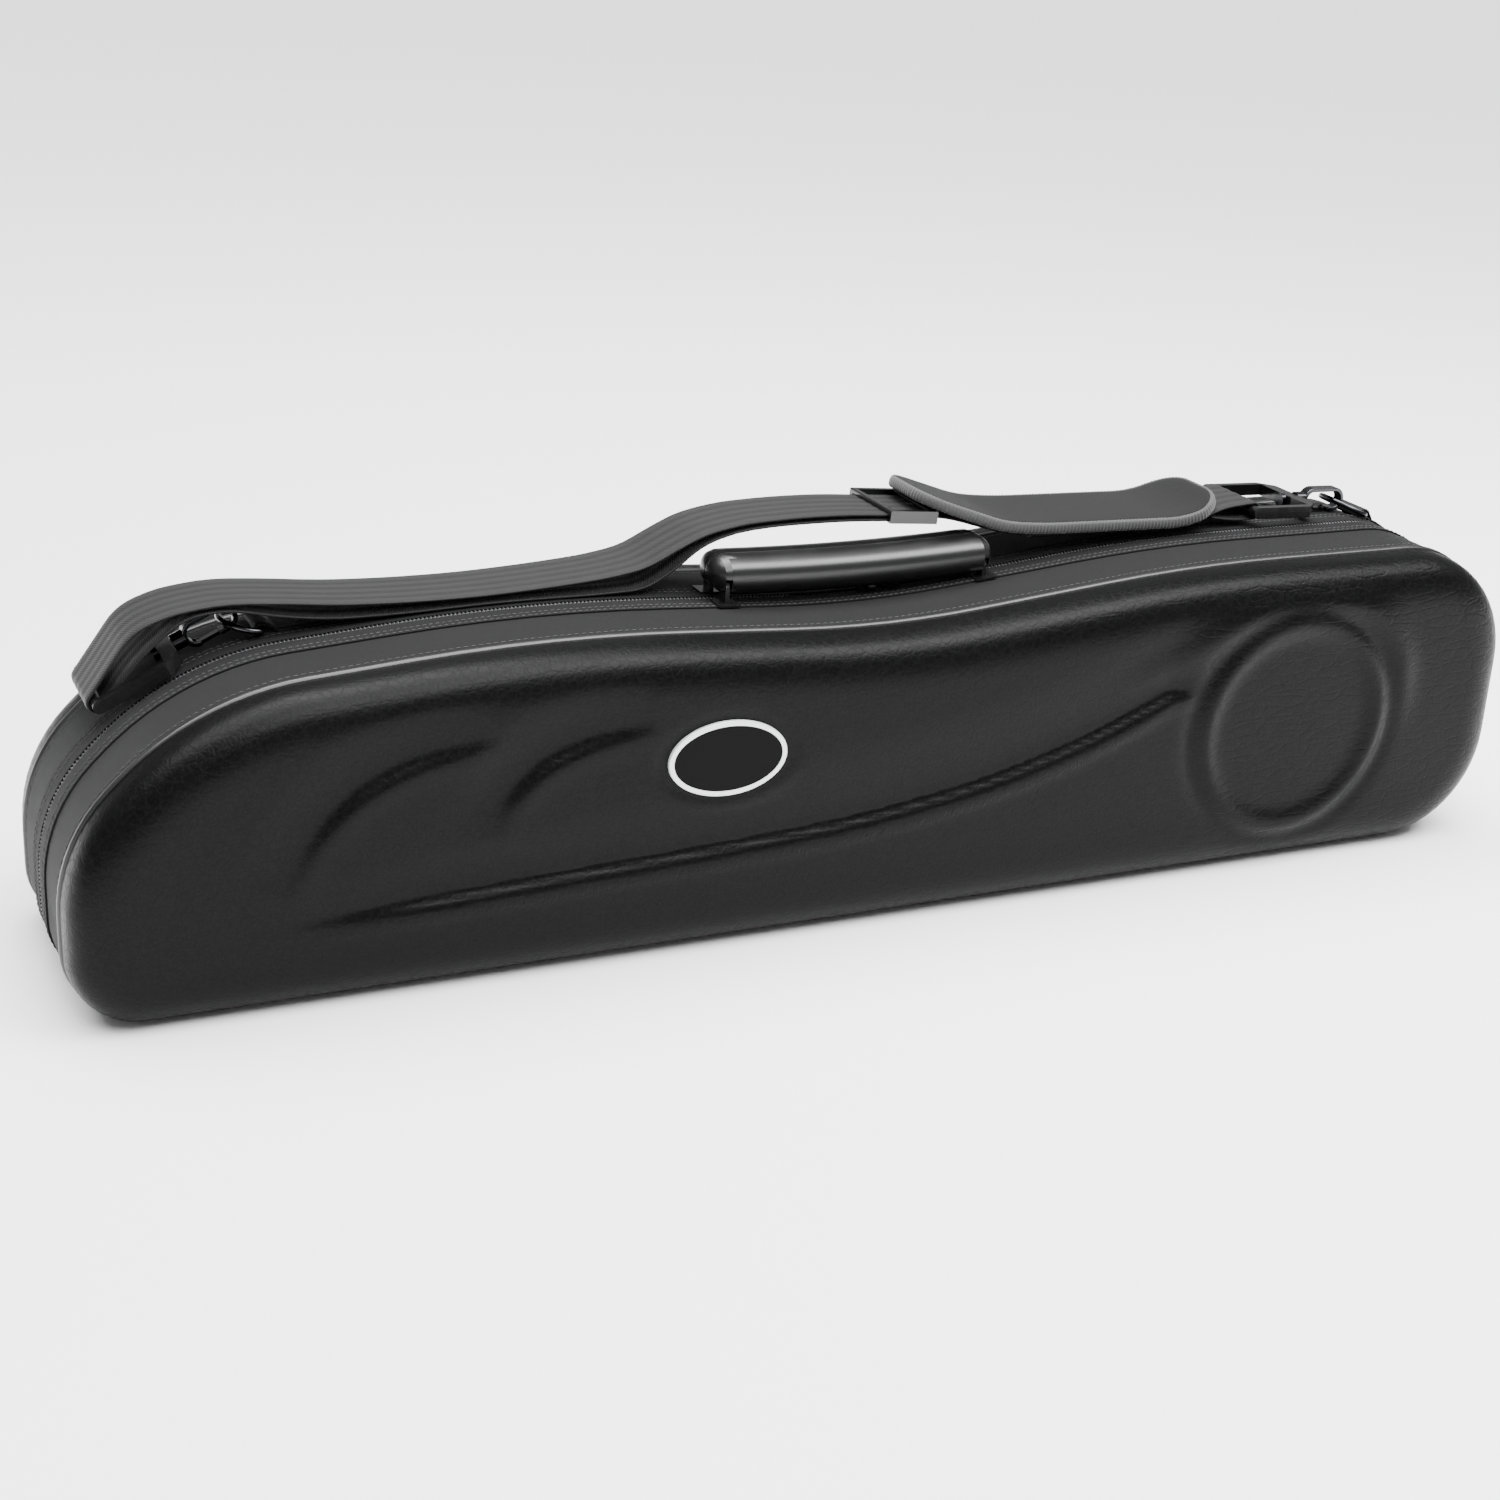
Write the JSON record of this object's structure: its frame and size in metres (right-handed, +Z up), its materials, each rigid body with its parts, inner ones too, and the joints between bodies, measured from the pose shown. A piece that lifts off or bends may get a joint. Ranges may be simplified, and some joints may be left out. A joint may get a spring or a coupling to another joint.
{
  "type": "soprano saxophone case",
  "caption": "Zip-around soprano saxophone case with moulded half shells, a clamshell folding handle, a bare oval badge and a padded shoulder strap on snap hooks.",
  "frame": {"origin": "middle of the hinge line between the two halves, on the surface that the case stands on", "axes": "+X along the case towards the bell end, +Y towards the rear half that carries the strap, +Z up from the hinge to the handle"},
  "size_m": [0.74, 0.1532, 0.1898],
  "materials": {
    "shell": "black imitation leather with a fine pebble grain over a moulded shell",
    "gusset": "black woven nylon",
    "zip_tape": "black zip tape",
    "zip_coil": "black coil",
    "piping": "smooth satin bead of black vinyl",
    "hinge": "black woven nylon",
    "handle": "black moulded plastic, satin",
    "lug": "black moulded plastic, satin",
    "steel": "plain steel",
    "zip_metal": "black lacquered zinc",
    "hook_metal": "black plated",
    "ring_metal": "black plated",
    "loop": "black moulded plastic",
    "badge_field": "bare black field",
    "badge_rim": "silver rim",
    "lining": "black plush",
    "webbing": "black woven webbing",
    "pad": "black knitted cover"
  },
  "bodies": {
    "rear_half": {"rear_gusset": "gusset", "rear_zip_tape": "zip_tape", "rear_zip_coil": "zip_coil", "rear_hinge_strip": "hinge", "rear_piping": "piping", "rear_shell": "shell", "rear_cradle": "lining", "rear_handle_lugs": "lug", "strap_webbing": "webbing", "strap_adjuster": "loop", "swivel_loop_left": "loop", "swivel_loop_right": "loop", "ring_tab_left": "webbing", "ring_tab_right": "webbing"},
    "lid": {"front_gusset": "gusset", "front_zip_tape": "zip_tape", "front_zip_coil": "zip_coil", "front_hinge_strip": "hinge", "front_piping": "piping", "front_shell": "shell", "badge_plate": "badge_field", "badge_ring": "badge_rim", "lid_lining": "lining", "front_handle_lugs": "lug"},
    "front_grip": {"front_handle": "handle", "front_handle_pins": "steel"},
    "rear_grip": {"rear_handle": "handle", "rear_handle_pins": "steel"},
    "slider_left": {"zip_slider_left": "zip_metal"},
    "slider_right": {"zip_slider_right": "zip_metal"},
    "pull_left": {"zip_pull_left": "zip_metal"},
    "pull_right": {"zip_pull_right": "zip_metal"},
    "ring_left": {"d_ring_left": "ring_metal"},
    "ring_right": {"d_ring_right": "ring_metal"},
    "hook_left": {"snap_hook_left": "hook_metal", "hook_pin_left": "steel"},
    "hook_right": {"snap_hook_right": "hook_metal", "hook_pin_right": "steel"},
    "gate_left": {"hook_gate_left": "hook_metal"},
    "gate_right": {"hook_gate_right": "hook_metal"},
    "pad": {"shoulder_pad": "pad", "pad_keepers": "webbing"}
  },
  "joints": [
    {"name": "lid_hinge", "type": "hinge", "parent": "rear_half", "child": "lid", "pos_m": [0, 0, 0], "axis": [1, 0, 0], "range_deg": [0, 176]},
    {"name": "front_handle_fold", "type": "hinge", "parent": "lid", "child": "front_grip", "pos_m": [0, -0.0093, 0.1554], "axis": [1, 0, 0], "range_deg": [0, 85]},
    {"name": "rear_handle_fold", "type": "hinge", "parent": "rear_half", "child": "rear_grip", "pos_m": [0, 0.0093, 0.1554], "axis": [-1, 0, 0], "range_deg": [0, 85]},
    {"name": "slider_left_run", "type": "slide", "parent": "rear_half", "child": "slider_left", "axis": [-1, 0, -0.0099], "range_m": [0, 0.03]},
    {"name": "slider_right_run", "type": "slide", "parent": "rear_half", "child": "slider_right", "axis": [0.9977, 0, 0.0683], "range_m": [0, 0.014]},
    {"name": "pull_left_swing", "type": "hinge", "parent": "slider_left", "child": "pull_left", "pos_m": [0.02347, 0, 0.14719], "axis": [0, 1, 0], "range_deg": [0, 20]},
    {"name": "pull_right_swing", "type": "hinge", "parent": "slider_right", "child": "pull_right", "pos_m": [0.03632, 0, 0.14778], "axis": [0, -1, 0], "range_deg": [0, 20]},
    {"name": "ring_left_swing", "type": "hinge", "parent": "rear_half", "child": "ring_left", "pos_m": [-0.26824, 0.023, 0.14652], "axis": [0, 1, 0], "range_deg": [-5, 5]},
    {"name": "ring_right_swing", "type": "hinge", "parent": "rear_half", "child": "ring_right", "pos_m": [0.32862, 0.023, 0.15749], "axis": [0, 1, 0], "range_deg": [-5, 5]},
    {"name": "hook_left_swivel", "type": "hinge", "parent": "rear_half", "child": "hook_left", "pos_m": [-0.284, 0.023, 0.1493], "axis": [-0.9026, 0, -0.4305], "range_deg": [-20, 20]},
    {"name": "hook_right_swivel", "type": "hinge", "parent": "rear_half", "child": "hook_right", "pos_m": [0.314, 0.023, 0.164], "axis": [-0.9993, 0, 0.0384], "range_deg": [-20, 20]},
    {"name": "gate_left_pivot", "type": "hinge", "parent": "hook_left", "child": "gate_left", "pos_m": [-0.29345, 0.023, 0.13892], "axis": [0, -1, 0], "range_deg": [0, 25], "stiffness_Nm_per_rad": 0.01, "springref_deg": -17.19},
    {"name": "gate_right_pivot", "type": "hinge", "parent": "hook_right", "child": "gate_right", "pos_m": [0.30081, 0.023, 0.1592], "axis": [0, -1, 0], "range_deg": [0, 25], "stiffness_Nm_per_rad": 0.01, "springref_deg": -17.19},
    {"name": "pad_slide", "type": "slide", "parent": "rear_half", "child": "pad", "axis": [0.9995, 0, -0.0304], "range_m": [0, 0.004]}
  ]
}
